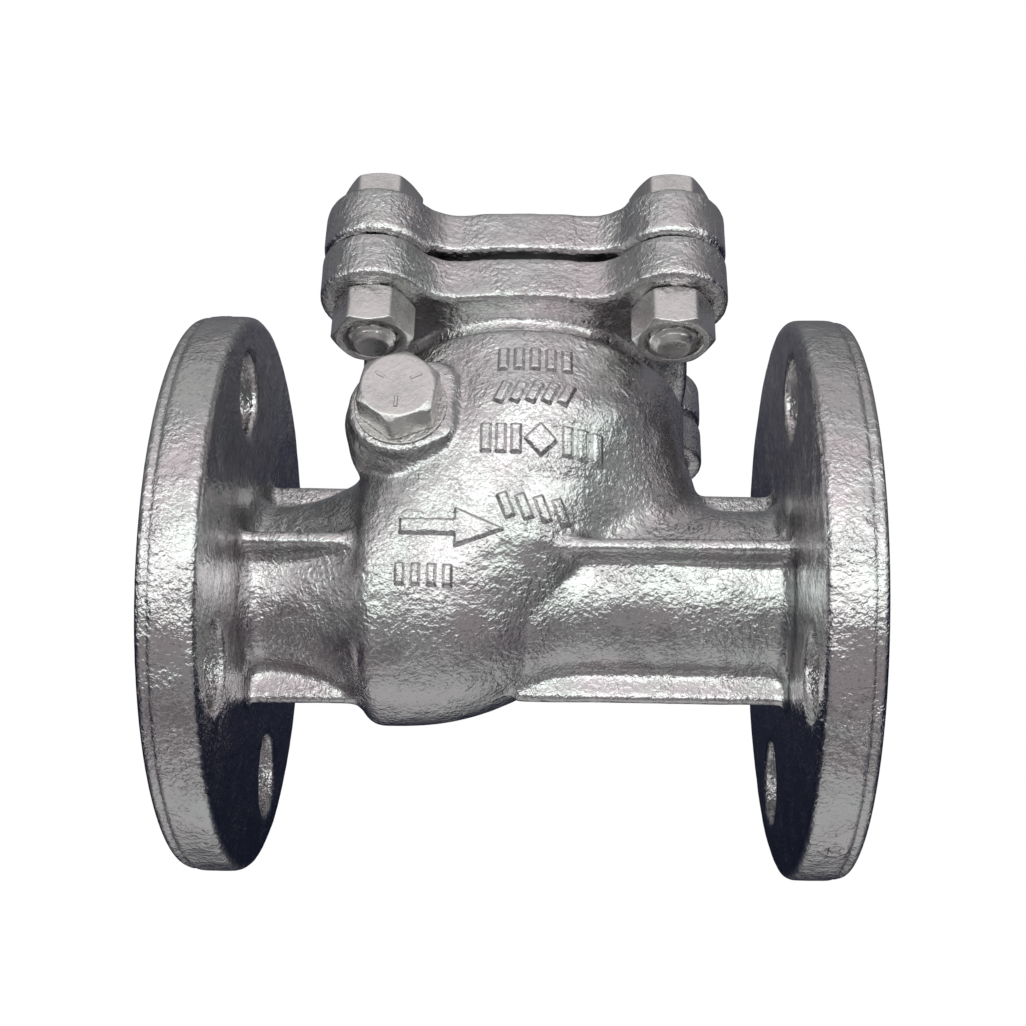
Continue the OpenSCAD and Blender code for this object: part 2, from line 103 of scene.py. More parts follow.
# waves and lumps that casting and paint leave behind: height, wavelength, seed
BODY_LUMPS = ((0.10, 9.0, 1), (0.035, 3.2, 2), (0.015, 1.6, 3))
COVER_LUMPS = ((0.12, 7.0, 4), (0.055, 3.0, 5), (0.02, 1.5, 6))


# ---------------------------------------------------------------- small helpers
def link(obj):
    bpy.context.scene.collection.objects.link(obj)
    return obj


def mesh_object(name, points, faces, smooth=True):
    """A mesh object from points in millimetres."""
    mesh = bpy.data.meshes.new(name)
    mesh.from_pydata([tuple(p) for p in np.asarray(points, float) * MM], [], faces)
    mesh.validate()
    mesh.update()
    mesh.polygons.foreach_set("use_smooth", [smooth] * len(mesh.polygons))
    return link(bpy.data.objects.new(name, mesh))


def dress(obj, body, material, slot, *nodes):
    """Gives a piece its body, its material and the CAD nodes it stands for; the slot is not used.
    """
    obj.data.materials.clear()
    obj.data.materials.append(material)
    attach(obj, body)
    if nodes:
        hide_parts(*nodes)
    return obj


def smoothstep(t):
    t = np.clip(t, 0, 1)
    return t * t * (3 - 2 * t)


def coordinates(mesh):
    co = np.empty(len(mesh.vertices) * 3, np.float32)
    mesh.vertices.foreach_get("co", co)
    return co.reshape(-1, 3).astype(float) / MM


def set_coordinates(mesh, co):
    mesh.vertices.foreach_set("co", (co * MM).astype(np.float32).ravel())
    mesh.update()


def vertex_normals(mesh):
    n = np.empty(len(mesh.vertices) * 3, np.float32)
    mesh.vertex_normals.foreach_get("vector", n)
    return n.reshape(-1, 3).astype(float)


def box_mm(node):
    """The two corners of a CAD node's box, in millimetres."""
    low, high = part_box(node)
    return Vector(low) / MM, Vector(high) / MM


def circle(r, count):
    """Evenly spaced points of a circle."""
    turns = [2 * math.pi * i / count for i in range(count)]
    return [(r * math.cos(t), r * math.sin(t)) for t in turns]


def shade_smooth(mesh):
    mesh.polygons.foreach_set("use_smooth", [True] * len(mesh.polygons))


def tree_of(obj):
    """A search tree of an object's mesh, in millimetres."""
    points = [Vector(c) for c in coordinates(obj.data)]
    return BVHTree.FromPolygons(points, [tuple(p.vertices) for p in obj.data.polygons])


# ---------------------------------------------------------------- castings
def offset_group(voxel, offsets):
    """Geometry nodes that offset a solid in or out, one step after another (millimetres)."""
    group = bpy.data.node_groups.new("offset_steps", "GeometryNodeTree")
    group.interface.new_socket("Geometry", in_out="INPUT", socket_type="NodeSocketGeometry")
    group.interface.new_socket("Geometry", in_out="OUTPUT", socket_type="NodeSocketGeometry")
    source = group.nodes.new("NodeGroupInput").outputs[0]
    for step in offsets:
        sdf = group.nodes.new("GeometryNodeMeshToSDFGrid")
        sdf.inputs["Voxel Size"].default_value = voxel * MM
        sdf.inputs["Band Width"].default_value = int(abs(step) / voxel) + 4
        mesh = group.nodes.new("GeometryNodeGridToMesh")
        mesh.inputs["Threshold"].default_value = step * MM
        group.links.new(source, sdf.inputs["Mesh"])
        group.links.new(sdf.outputs["SDF Grid"], mesh.inputs["Grid"])
        source = mesh.outputs["Mesh"]
    out = group.nodes.new("NodeGroupOutput")
    group.links.new(source, out.inputs[0])
    return group


def offset_copy(node, name, voxel, offsets, extras=()):
    """A fine copy of a CAD node, joined with extra solids, with fillets and rounded edges."""
    mesh = NODES[node].data.copy()
    bm = bmesh.new()
    bm.from_mesh(mesh)
    for extra in extras:
        bm.from_mesh(extra)
    bm.to_mesh(mesh)
    bm.free()
    obj = link(bpy.data.objects.new(name, mesh))
    modifier = obj.modifiers.new("offset", "NODES")
    modifier.node_group = offset_group(voxel, offsets)
    evaluated = obj.evaluated_get(bpy.context.evaluated_depsgraph_get())
    fine = bpy.data.meshes.new_from_object(evaluated)
    obj.modifiers.clear()
    obj.data = fine
    fine.name = name
    shade_smooth(fine)
    return obj


def smooth(mesh, co, weight, passes, step):
    """Moves points towards the average of their neighbours, as far as step and weight say."""
    edges = np.empty(len(mesh.edges) * 2, np.int32)
    mesh.edges.foreach_get("vertices", edges)
    edges = edges.reshape(-1, 2)
    used = (weight[edges] > 0).any(axis=1)
    index = np.unique(edges[used])
    local = np.full(len(co), -1)
    local[index] = np.arange(len(index))
    a, b = local[edges[used]].T
    part = co[index]
    count = np.bincount(np.concatenate([a, b]), minlength=len(index)).astype(float)
    share = (step * weight[index] / count)[:, None]
    for _ in range(passes):
        total = np.stack([np.bincount(a, part[b, k], len(index))
                          + np.bincount(b, part[a, k], len(index)) for k in range(3)], 1)
        part = part + share * (total - count[:, None] * part)
    co[index] = part
    return co


def ripple(points, wavelength, seed):
    """Smooth noise between about -1 and 1 at each point."""
    shift = Vector((seed * 17.3, seed * 5.9, seed * 11.1))
    return np.array([noise.noise(Vector(p) / wavelength + shift) for p in points])


def lumps(points, layers):
    """Layers of smooth noise, each with its height, wavelength and seed."""
    return sum(height * ripple(points, wavelength, seed) for height, wavelength, seed in layers)


def arc(cx, cy, r, a0, a1, n):
    """Points of an arc in n steps, with its angles in degrees."""
    turns = [math.radians(a0 + (a1 - a0) * i / n) for i in range(n + 1)]
    return [(cx + r * math.cos(t), cy + r * math.sin(t)) for t in turns]


def wrap(bm):
    """Turns the points of a bmesh into their convex hull."""
    bmesh.ops.convex_hull(bm, input=bm.verts)
    loose = [v for v in bm.verts if not v.link_faces]
    bmesh.ops.delete(bm, geom=loose, context="VERTS")
    bmesh.ops.recalc_face_normals(bm, faces=bm.faces)


def chamber_skin():
    """The chamber's outer surface, finely divided: barrel, waist and the end on the flow axis."""
    turns = 192
    waist_x, left = MID_X - 5.5, MID_X - 30.0
    points = []
    for x, r, z in ((COVER_X, BARREL_R, 25.0), (COVER_X, BARREL_R, 40.0),
                    (waist_x, CHAMBER_R, -0.5), (waist_x, CHAMBER_R, 0.5)):
        points += [(x + u, v, z) for u, v in circle(r, turns)]
    outline = [(0.0, left)]
    outline += arc(CHAMBER_R - CHAMBER_ROUND, left + CHAMBER_ROUND, CHAMBER_ROUND, 270, 360, 10)
    outline += arc(CHAMBER_R - CHAMBER_NOSE_R, MID_X - 21.5, CHAMBER_NOSE_R, 0, 40, 20)
    for radius, x in outline:
        points += [(x, u, v) for u, v in circle(radius, turns)]
    bm = bmesh.new()
    for p in points:
        bm.verts.new(p)
    bmesh.ops.remove_doubles(bm, verts=bm.verts, dist=1e-4)
    wrap(bm)
    tree = BVHTree.FromBMesh(bm)
    bm.free()
    return tree


def bars(x, z, count, pitch, w, h, lean=0.0):
    """A row of plain upright bars from (x, z), each leaning by so many degrees."""
    c, s = math.cos(math.radians(lean)), math.sin(math.radians(lean))
    corners = ((-w / 2, -h / 2), (w / 2, -h / 2), (w / 2, h / 2), (-w / 2, h / 2))
    cz = z + h / 2
    return [[(x + (i + 0.5) * pitch + c * u - s * v, cz + s * u + c * v) for u, v in corners]
            for i in range(count)]


def mark_polygons():
    """Outlines of the plain raised marks, in (x, z) millimetres, as the CAD has them."""
    x = MID_X
    arrow = ((0, -1.2), (10, -1.2), (10, -3.3), (18.5, 0), (10, 3.3), (10, 1.2), (0, 1.2))
    cx, cz, half = x + 4.4, 17.2, 4 / math.sqrt(2)
    lozenge = [(cx, cz - half), (cx + half, cz), (cx, cz + half), (cx - half, cz)]
    return {
        "flow_arrow": [[(x - 21 + u, 0.5 + v) for u, v in arrow]],
        "marks_top_row": bars(x - 4.4, 31.2, 5, 3, 1.5, 4.4),
        "marks_second_row": bars(x - 4.4, 24, 5, 3, 1.5, 4.2, -24),
        "marks_third_row": bars(x - 7.2, 14.6, 3, 2.8, 1.5, 5) + [lozenge]
                           + bars(x + 8, 14.9, 3, 2.8, 1.5, 5),
        "marks_fourth_row": bars(x - 3.6, 2.8, 4, 3.4, 1.5, 4.2, 24),
        "marks_low_row": bars(x - 22.4, -9.8, 4, 2.9, 1.2, 3.4),
    }


def distance_to_polygon(px, pz, polygon):
    """Distance from points to a polygon's edge, negative inside."""
    best = np.full(px.shape, 1e9)
    inside = np.zeros(px.shape, bool)
    n = len(polygon)
    for i in range(n):
        (x0, z0), (x1, z1) = polygon[i], polygon[(i + 1) % n]
        ex, ez = x1 - x0, z1 - z0
        t = np.clip(((px - x0) * ex + (pz - z0) * ez) / (ex * ex + ez * ez), 0, 1)
        best = np.minimum(best, np.hypot(px - x0 - t * ex, pz - z0 - t * ez))
        if z0 != z1:
            crosses = ((z0 > pz) != (z1 > pz)) & (px < ex * (pz - z0) / ez + x0)
            inside ^= crosses
    return np.where(inside, -best, best)


def near_marks(co, margin):
    """True for points on the marked side that lie over a raised mark or close to it."""
    best = np.full(len(co), 1e9)
    index = np.flatnonzero(co[:, 1] < -15)
    for polygons in mark_polygons().values():
        for polygon in polygons:
            d = distance_to_polygon(co[index, 0], co[index, 2], polygon)
            best[index] = np.minimum(best[index], d)
    return best < margin


def outlet_flare(skin):
    """A solid that sweeps the barrel down into the outlet neck in one wide hollow curve."""
    neck, height, run, inset = 17.0, 11.0, 14.5, 1.6
    turns = np.radians(np.linspace(14, 166, 56))
    radii = np.linspace(neck - 1.5, neck + height, 22)
    right, left = [], []
    for t in turns:
        spread = float(smoothstep((math.sin(t) - 0.24) / 0.5))
        for r in radii:
            y, z = r * math.cos(t), r * math.sin(t)
            hit, _, _, _ = skin.ray_cast(Vector((140, y, z)), Vector((-1, 0, 0)))
            back = hit.x - inset
            reach = max(0.0, (r - neck) / height)
            swept = hit.x + run * spread * (1 - reach ** 0.4) - 0.2
            left.append((back, y, z))
            right.append((max(back + 0.3, swept), y, z))
    n, m = len(turns), len(radii)
    faces = []
    for i in range(n - 1):
        for j in range(m - 1):
            a = i * m + j
            quad = (a, a + 1, a + m + 1, a + m)
            faces.append(quad)
            faces.append(tuple(n * m + v for v in reversed(quad)))
    rim = [(i, 0) for i in range(n)] + [(n - 1, j) for j in range(1, m)]
    rim += [(i, m - 1) for i in range(n - 2, -1, -1)] + [(0, j) for j in range(m - 2, 0, -1)]
    rim = [i * m + j for i, j in rim]
    for a, b in zip(rim, rim[1:] + rim[:1]):
        faces.append((a, b, n * m + b, n * m + a))
    mesh = bpy.data.meshes.new("outlet_flare")
    mesh.from_pydata([Vector(p) * MM for p in right + left], [], faces)
    bm = bmesh.new()
    bm.from_mesh(mesh)
    bmesh.ops.recalc_face_normals(bm, faces=bm.faces)
    bm.to_mesh(mesh)
    bm.free()
    return mesh


def pad_root():
    """A low step, a little wider than the hinge pad, that the pad stands on."""
    front, back, grow, chamfer = -28.6, -18.0, 1.1, 0.5
    bm = bmesh.new()
    for x, z, r in ((41.7, 23.0, 10.0), (47.2, 29.0, 4.5), (47.2, 19.4, 4.5)):
        for c, s in circle(1.0, 48):
            for y, more in ((front, grow - chamfer), (front + chamfer, grow), (back, grow)):
                bm.verts.new(Vector((x + (r + more) * c, y, z + (r + more) * s)) * MM)
    wrap(bm)
    mesh = bpy.data.meshes.new("pad_root")
    bm.to_mesh(mesh)
    bm.free()
    return mesh


def crease_weight(co):
    """Where the chamber runs out into the outlet neck, away from the ribs and the inside."""
    radius = np.hypot(co[:, 1], co[:, 2])
    along = smoothstep((co[:, 0] - 74) / 6) * smoothstep((101 - co[:, 0]) / 8)
    ribs = smoothstep((np.abs(co[:, 2]) - 1.9) / 2.2) * smoothstep((np.abs(co[:, 1]) - 1.9) / 2.2)
    height = smoothstep((30 - co[:, 2]) / 8)
    sides = smoothstep((np.abs(co[:, 1]) - 6) / 3 + (co[:, 2] > 14))
    outside = smoothstep((radius - 15.2) / 1.2) * sides
    weight = along * ribs * height * outside
    return np.where(weight > 0.02, weight, 0)


def end_depth(co):
    """How far each point lies inside the nearer end of the body."""
    return np.minimum(co[:, 0] - BODY_LOW.x, BODY_HIGH.x - co[:, 0])


def hole_rims(co):
    """Rounds the inner edge of every flange bolt hole."""
    size = 1.1
    off_axis = np.full(len(co), 1e9)
    for k in range(4):
        a = math.radians(45 + 90 * k)
        y, z = HOLE_CIRCLE_R * math.cos(a), HOLE_CIRCLE_R * math.sin(a)
        off_axis = np.minimum(off_axis, np.hypot(co[:, 1] - y, co[:, 2] - z))
    gap = np.clip(off_axis - HOLE_R, 0, size)
    recess = size - np.sqrt(size ** 2 - (size - gap) ** 2)
    for face, inwards in ((BODY_LOW.x + FLANGE_T, -1), (BODY_HIGH.x - FLANGE_T, 1)):
        depth = (co[:, 0] - face) * inwards
        near = (off_axis < HOLE_R + size) & (depth > -0.6) & (depth < recess)
        co[near, 0] = face + inwards * recess[near]
    return co


def turned_bands(co):
    """Turns the rims' outer edges down a little, with a fine groove where the tool stopped."""
    radius = np.hypot(co[:, 1], co[:, 2])
    depth = end_depth(co) - RAISED_H
    limit = FLANGE_R - BAND_H * (1 - smoothstep((depth - BAND_W) / 0.5 + 0.5))
    limit -= 0.40 * np.exp(-((depth - BAND_W + 0.1) / 0.38) ** 2)
    limit -= 0.8 * (1 - smoothstep((depth + 0.1) / 0.9))
    near = (depth < BAND_W + 1.5) & (radius > limit)
    scale = np.where(near, limit / np.maximum(radius, 1), 1.0)
    co[:, 1] *= scale
    co[:, 2] *= scale
    return co


def dent(co, normals, centre, size, depth, lip):
    """A small flaw in the casting: a shallow hollow with an uneven lip."""
    away = np.linalg.norm(co - np.array(centre), axis=1)
    near = np.flatnonzero(away < size * 2)
    t = away[near] / size
    wobble = 1 + 0.5 * ripple(co[near], 1.4, 7)
    hollow = -depth * (1 - smoothstep((t - 0.45) / 0.5))
    shift = hollow + lip * np.exp(-((t - 1.0) / 0.22) ** 2) * wobble
    co[near] += normals[near] * shift[:, None]


def cast_body():
    """The body's casting, with fillets, a smooth chamber without its marks, lumps and flaws."""
    voxel = 0.5
    skin = chamber_skin()
    extras = (outlet_flare(skin), pad_root())
    obj = offset_copy("body", "body_casting", voxel, BODY_STEPS, extras)
    mesh = obj.data
    co = coordinates(mesh)
    normals = vertex_normals(mesh)
    marked = near_marks(co, 1.6)
    # the chamber's side, taken back to its smooth shape, with the marks taken off
    x, y, z = co.T
    chamber = (x > 32) & (x < 99) & (z < 40) & (np.abs(y) > 4)
    for i in np.flatnonzero(chamber | marked):
        where, normal, _, distance = skin.find_nearest(Vector(co[i]), 1.4)
        if where is None:
            continue
        facing = normal.dot(Vector(normals[i]))
        if marked[i] or (distance < 0.35 and facing > 0.94):
            co[i] = where
    co = smooth(mesh, co, np.ones(len(co)), 6, 0.5)
    outward = normals[:, 1] * co[:, 1] + normals[:, 2] * co[:, 2] > 0
    co = smooth(mesh, co, crease_weight(co) * outward, 120, 0.6)
    co = hole_rims(turned_bands(co))
    set_coordinates(mesh, co)
    normals = vertex_normals(mesh)
    outer = smoothstep((np.hypot(co[:, 1], co[:, 2]) - 14.5) / 1.5)
    faces = smoothstep(end_depth(co) - 1.7)
    co = co + normals * (lumps(co, BODY_LUMPS) * outer * faces)[:, None]
    for centre, size, depth, lip in FLAWS:
        dent(co, normals, centre, size, depth, lip)
    set_coordinates(mesh, co)
    return obj


def mark_patches(casting):
    """Each group of raised marks as a thin skin that rises out of the casting."""
    tree = tree_of(casting)
    made = []
    pitch, sunk, margin = 0.2, 0.35, 1.1
    for name, polygons in mark_polygons().items():
        flat = np.array([p for polygon in polygons for p in polygon])
        x0, z0 = flat.min(0) - 1.5
        x1, z1 = flat.max(0) + 1.5
        gx, gz = np.meshgrid(np.arange(x0, x1, pitch), np.arange(z0, z1, pitch))
        d = np.min([distance_to_polygon(gx, gz, polygon) for polygon in polygons], axis=0)
        height = -sunk + (MARK_H + sunk) * smoothstep(0.75 - d)
        index = -np.ones(gx.shape, int)
        points = []
        for r, c in zip(*np.nonzero(d < margin)):
            start = Vector((gx[r, c], -60, gz[r, c]))
            hit, normal, _, _ = tree.ray_cast(start, Vector((0, 1, 0)))
            if hit is None:
                continue
            direction = (normal + Vector((0, -1.5, 0))).normalized()
            index[r, c] = len(points)
            points.append(hit + direction * float(height[r, c]))
        faces = []
        for r in range(gx.shape[0] - 1):
            for c in range(gx.shape[1] - 1):
                quad = (index[r, c], index[r, c + 1], index[r + 1, c + 1], index[r + 1, c])
                if min(quad) >= 0:
                    faces.append(quad)
        made.append(mesh_object(name, points, faces))
    return made


def cast_cover():
    obj = offset_copy("bonnet_cover", "cover_casting", 0.45, COVER_STEPS)
    mesh = obj.data
    co = smooth(mesh, coordinates(mesh), np.ones(len(mesh.vertices)), 5, 0.5)
    set_coordinates(mesh, co)
    outer = smoothstep((np.hypot(co[:, 0] - COVER_X, co[:, 1]) - 24) / 2 + (co[:, 2] > 62))
    shift = lumps(co, COVER_LUMPS) * outer
    set_coordinates(mesh, co + vertex_normals(mesh) * shift[:, None])
    return obj


def cast_arm():
    obj = offset_copy("hinge_arm", "swing_arm_casting", 0.28, ARM_STEPS)
    mesh = obj.data
    co = smooth(mesh, coordinates(mesh), np.ones(len(mesh.vertices)), 3, 0.5)
    set_coordinates(mesh, co)
    return obj


# ---------------------------------------------------------------- turned and hexagonal parts
ANGLES = 120


def ring(r, z):
    return np.full(ANGLES, float(r)), np.full(ANGLES, float(z))


def revolve(name, rows, place, capped=False):
    """Skins rows of rings, each (radii, heights); place turns (x, y, z) into the frame."""
    n = ANGLES
    t = 2 * math.pi * np.arange(n) / n
    points = np.concatenate([np.stack([radii * np.cos(t), radii * np.sin(t), heights], 1)
                             for radii, heights in rows])
    faces = []
    for k in range(len(rows) - 1):
        for i in range(n):
            j = (i + 1) % n
            faces.append((k * n + i, k * n + j, (k + 1) * n + j, (k + 1) * n + i))
    if capped:
        faces.append(tuple(range(n))[::-1])
        faces.append(tuple((len(rows) - 1) * n + i for i in range(n)))
    obj = mesh_object(name, place(points), faces)
    bm = bmesh.new()
    bm.from_mesh(obj.data)
    bmesh.ops.remove_doubles(bm, verts=bm.verts, dist=2e-6)
    bmesh.ops.recalc_face_normals(bm, faces=bm.faces)
    bm.to_mesh(obj.data)
    bm.free()
    shade_smooth(obj.data)
    return obj


def finish_edges(obj):
    """Keeps flats flat next to small rounds."""
    obj.data.set_sharp_from_angle(angle=math.radians(35))
    modifier = obj.modifiers.new("flats", "WEIGHTED_NORMAL")
    modifier.keep_sharp = True
    modifier.weight = 80
    return obj


def hexagon(turn):
    """Distance from the axis to a hexagon's side, with its corners slightly rounded."""
    t = 2 * math.pi * np.arange(ANGLES) / ANGLES - math.radians(turn)
    part = (t + math.pi / 6) % (math.pi / 3) - math.pi / 6
    r = HEX_AF / 2 / np.cos(part)
    corner = HEX_AF / 2 / math.cos(math.pi / 6)
    return np.minimum(r, corner - 0.35 * smoothstep((r - (corner - 0.6)) / 0.6) * 0.45)


def hex_rows(low, high, turn, chamfer_low, edge=0.18, rim_share=0.96):
    """Rings of a hexagon's side from low to high, with conical chamfers and small rounds."""
    side = hexagon(turn)
    slope = math.tan(math.radians(30))
    rim = HEX_AF / 2 * rim_share
    drop = (side - rim) * slope
    if chamfer_low:
        rows = [ring(rim - edge, low), ring(rim + edge * 0.6, low + edge * 0.25),
                (side - edge, low + drop - edge * slope), (side, low + drop + edge)]
    else:
        rows = [(side - edge, np.full(ANGLES, low)), (side, np.full(ANGLES, low + edge))]
    return rows + [(side, high - drop - edge), (side - edge, high - drop + edge * slope),
                   ring(rim + edge * 0.6, high - edge * 0.25), ring(rim - edge, high)]


def thread_rows(low, high, depth, chamfer):
    """Rings of a screw thread between two heights; the lower end is chamfered."""
    t = np.arange(ANGLES) / ANGLES
    rows = []
    z = low
    while z <= high + 1e-6:
        phase = (z / THREAD_PITCH - t) % 1.0
        tooth = np.clip((0.5 - np.abs(phase - 0.5)) * 2 * 1.25 - 0.1, 0, 1)
        radii = THREAD_R - depth * (1 - tooth)
        radii = np.minimum(radii, THREAD_R - chamfer + max(0.0, z - low))
        rows.append((radii, np.full(ANGLES, z)))
        z += THREAD_PITCH / 10
    return rows


def upright(low, high):
    """Places a part on the middle of a box, seen from above."""
    middle = np.array([(low.x + high.x) / 2, (low.y + high.y) / 2, 0.0])
    return lambda p: p + middle


def bolt(name, node):
    low, high = box_mm(node)
    rows = [ring(THREAD_R - 2.3, low.z), ring(THREAD_R - 1.75, low.z)]
    rows += thread_rows(low.z + 0.12, low.z + 13, 0.85, 1.45)
    rows += [ring(THREAD_R, low.z + 13.6), ring(THREAD_R, COVER_TOP - 0.3)]
    rows += [ring(THREAD_R + 0.3, COVER_TOP)]
    rows += hex_rows(COVER_TOP, high.z, 30, False)
    rows += [ring(5.2, high.z - 0.02), ring(0.6, high.z - 0.05)]
    return finish_edges(revolve(name, rows, upright(low, high), capped=True))


def bolt_dashes(name, node):
    low, high = box_mm(node)
    return grade_dashes(name, upright(low, high), 2.4, 5.0, high.z - 0.05, 0.3, 0.3)


def nut(name, node):
    """A nut with a deep dark gap round the end of the bolt."""
    low, high = box_mm(node)
    bore = THREAD_R + 0.03
    rows = [ring(bore, high.z - 0.9), ring(bore, low.z + 2.4), ring(bore + 0.7, low.z + 2.2),
            ring(bore + 0.8, low.z + 0.2), ring(bore + 1.0, low.z)]
    rows += hex_rows(low.z, high.z, 30, True)
    rows += [ring(bore + 1.0, high.z), ring(bore, high.z - 0.9)]
    return finish_edges(revolve(name, rows, upright(low, high)))


def across(x, z, face_y):
    """Places a part built along +Z so that it points along -Y, with its zero at face_y."""
    return lambda p: np.stack([x + p[:, 0], face_y - p[:, 2], z + p[:, 1]], 1)


def plug():
    """The hinge plug's screw and head, and the dashes on its head."""
    low, high = box_mm("hinge_plug")
    x, z = (low.x + high.x) / 2, (low.z + high.z) / 2
    gasket_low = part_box("plug_gasket")[0].y / MM
    head = gasket_low - low.y
    inner_end = gasket_low - high.y
    place = across(x, z, gasket_low)
    rows = [ring(THREAD_R - 1.0, inner_end), ring(THREAD_R, inner_end + 1.0)]
    rows += [ring(THREAD_R, -0.2), ring(6.6, 0.0)]
    rows += hex_rows(0.0, head, 51, False, 0.22, 0.92)
    rows += [ring(4.6, head - 0.03), ring(0.5, head - 0.06)]
    obj = finish_edges(revolve("plug_head", rows, place, capped=True))
    return obj, grade_dashes("plug_head_dashes", place, 2.6, 5.0, head - 0.05, 0.35, 0.5)


def grade_dashes(name, place, r0, r1, base, height, start_angle):
    """Three short raised dashes on a head, evenly spaced."""
    width, count = 0.8, 3
    levels = ((base - 0.15, 0.0), (base + height * 0.6, 0.05), (base + height, 0.2))
    points, faces = [], []
    for k in range(count):
        a = 2 * math.pi * k / count + start_angle
        c, s = math.cos(a), math.sin(a)
        start = len(points)
        for level, inset in levels:
            for u, v in ((r0 + inset, -width / 2 + inset), (r1 - inset, -width / 2 + inset),
                         (r1 - inset, width / 2 - inset), (r0 + inset, width / 2 - inset)):
                points.append((c * u - s * v, s * u + c * v, level))
        for low in (start, start + 4):
            for i in range(4):
                j = (i + 1) % 4
                faces.append((low + i, low + j, low + 4 + j, low + 4 + i))
        faces.append(tuple(start + 8 + i for i in range(4)))
    return mesh_object(name, place(np.array(points)), faces, smooth=False)


def refined(node, name, bevel):
    """A clean copy of a turned CAD node with small rounds on its edges."""
    mesh = NODES[node].data.copy()
    obj = link(bpy.data.objects.new(name, mesh))
    bm = bmesh.new()
    bm.from_mesh(mesh)
    bmesh.ops.remove_doubles(bm, verts=bm.verts, dist=1.5e-6)
    flat = math.radians(0.6)
    bmesh.ops.dissolve_limit(bm, angle_limit=flat, verts=bm.verts, edges=bm.edges)
    sharp = math.radians(28)
    edges = [e for e in bm.edges if len(e.link_faces) == 2 and e.calc_face_angle(0) > sharp]
    bmesh.ops.bevel(bm, geom=edges, offset=bevel * MM, segments=2, profile=0.5,
                    affect="EDGES", clamp_overlap=True)
    bm.to_mesh(mesh)
    bm.free()
    if "custom_normal" in mesh.attributes:
        mesh.attributes.remove(mesh.attributes["custom_normal"])
    shade_smooth(mesh)
    return finish_edges(obj)


def face_ring(name, x_face, sign):
    """The machined raised face with its concentric grooves, and the first stretch of the bore."""
    pitch, depth, proud = 0.8, 0.07, 0.03
    bore_length = 36.0 if sign > 0 else 38.0
    rows = [(BORE_R - proud, bore_length), (BORE_R - proud, 0.45), (BORE_R + 0.4, -proud)]
    r = BORE_R + 1.2
    while r < RAISED_R - 1.2:
        rows += [(r, -proud), (r + pitch / 2, depth - proud - 0.02)]
        r += pitch
    rows += [(RAISED_R - 0.6, -proud), (RAISED_R - 0.15, 0.2)]
    rows += [(RAISED_R + proud, 0.55), (RAISED_R + proud, RAISED_H + 0.15)]

    def place(p):
        return np.stack([x_face + sign * p[:, 2], p[:, 0], p[:, 1]], 1)
    return finish_edges(revolve(name, [ring(radius, x) for radius, x in rows], place))


# ---------------------------------------------------------------- materials
class Graph:
    """A node material whose patterns are laid out in millimetres of the frame."""

    def __init__(self, name):
        self.material = bpy.data.materials.new(name)
        self.material.use_nodes = True
        self.tree = self.material.node_tree
        self.tree.nodes.clear()
        self.out = self.add("ShaderNodeOutputMaterial")
        coords = self.add("ShaderNodeTexCoord").outputs["Object"]
        scaled = self.add("ShaderNodeVectorMath", {"operation": "SCALE"},
                          Vector=coords, Scale=1000.0)
        self.mm = scaled.outputs[0]

    def add(self, kind, settings=None, **inputs):
        n = self.tree.nodes.new(kind)
        for key, value in (settings or {}).items():
            setattr(n, key, value)
        for key, value in inputs.items():
            self.put(n.inputs[key.replace("_", " ")], value)
        return n

    def put(self, socket, value):
        if isinstance(value, bpy.types.NodeSocket):
            self.tree.links.new(value, socket)
        else:
            socket.default_value = value

    def noise(self, scale, detail=2.0, rough=0.5, distortion=0.0):
        """Smooth noise; a scale of 1 gives features of about a millimetre."""
        return self.add("ShaderNodeTexNoise", None, Vector=self.mm, Scale=scale, Detail=detail,
                        Roughness=rough, Distortion=distortion).outputs["Fac"]

    def math(self, operation, a, b):
        n = self.add("ShaderNodeMath", {"operation": operation})
        self.put(n.inputs[0], a)
        self.put(n.inputs[1], b)
        return n.outputs[0]

    def span(self, value, low, high, to_low=0.0, to_high=1.0):
        """Takes low..high to to_low..to_high with soft ends."""
        return self.add("ShaderNodeMapRange", {"interpolation_type": "SMOOTHSTEP"}, Value=value,
                        From_Min=low, From_Max=high, To_Min=to_low, To_Max=to_high).outputs[0]

    def blend(self, factor, a, b):
        n = self.add("ShaderNodeMix", {"data_type": "RGBA"})
        self.put(n.inputs[0], factor)
        self.put(n.inputs[6], a)
        self.put(n.inputs[7], b)
        return n.outputs[2]

    def bump(self, height, distance, strength=1.0):
        """A bump of so many millimetres."""
        return self.add("ShaderNodeBump", None, Height=height, Distance=distance * MM,
                        Strength=strength).outputs[0]

    def vector(self, operation, a, b=None, **inputs):
        n = self.add("ShaderNodeVectorMath", {"operation": operation}, **inputs)
        self.put(n.inputs[0], a)
        if b is not None:
            self.put(n.inputs[1], b)
        return n.outputs[0]

    def tilted(self, normal, scale, amount):
        """Tips each small cell of the surface its own way, so that flakes catch the light."""
        color = self.add("ShaderNodeTexVoronoi", {"feature": "F1"}, Vector=self.mm, Scale=scale,
                         Randomness=1.0).outputs["Color"]
        centred = self.vector("SUBTRACT", color, (0.5, 0.5, 0.5))
        scaled = self.vector("SCALE", centred, Scale=amount)
        return self.vector("NORMALIZE", self.vector("ADD", normal, scaled))

    def surface(self, color, metallic, roughness, normal):
        n = self.add("ShaderNodeBsdfPrincipled")
        self.put(n.inputs["Base Color"], color)
        self.put(n.inputs["Metallic"], metallic)
        self.put(n.inputs["Roughness"], roughness)
        self.put(n.inputs["Normal"], normal)
        self.put(self.out.inputs["Surface"], n.outputs[0])
        return self.material


def grey(v, warm=0.0):
    """A grey that is a little redder and less blue by the share warm."""
    return (v * (1 + warm), v, v * (1 - warm), 1.0)


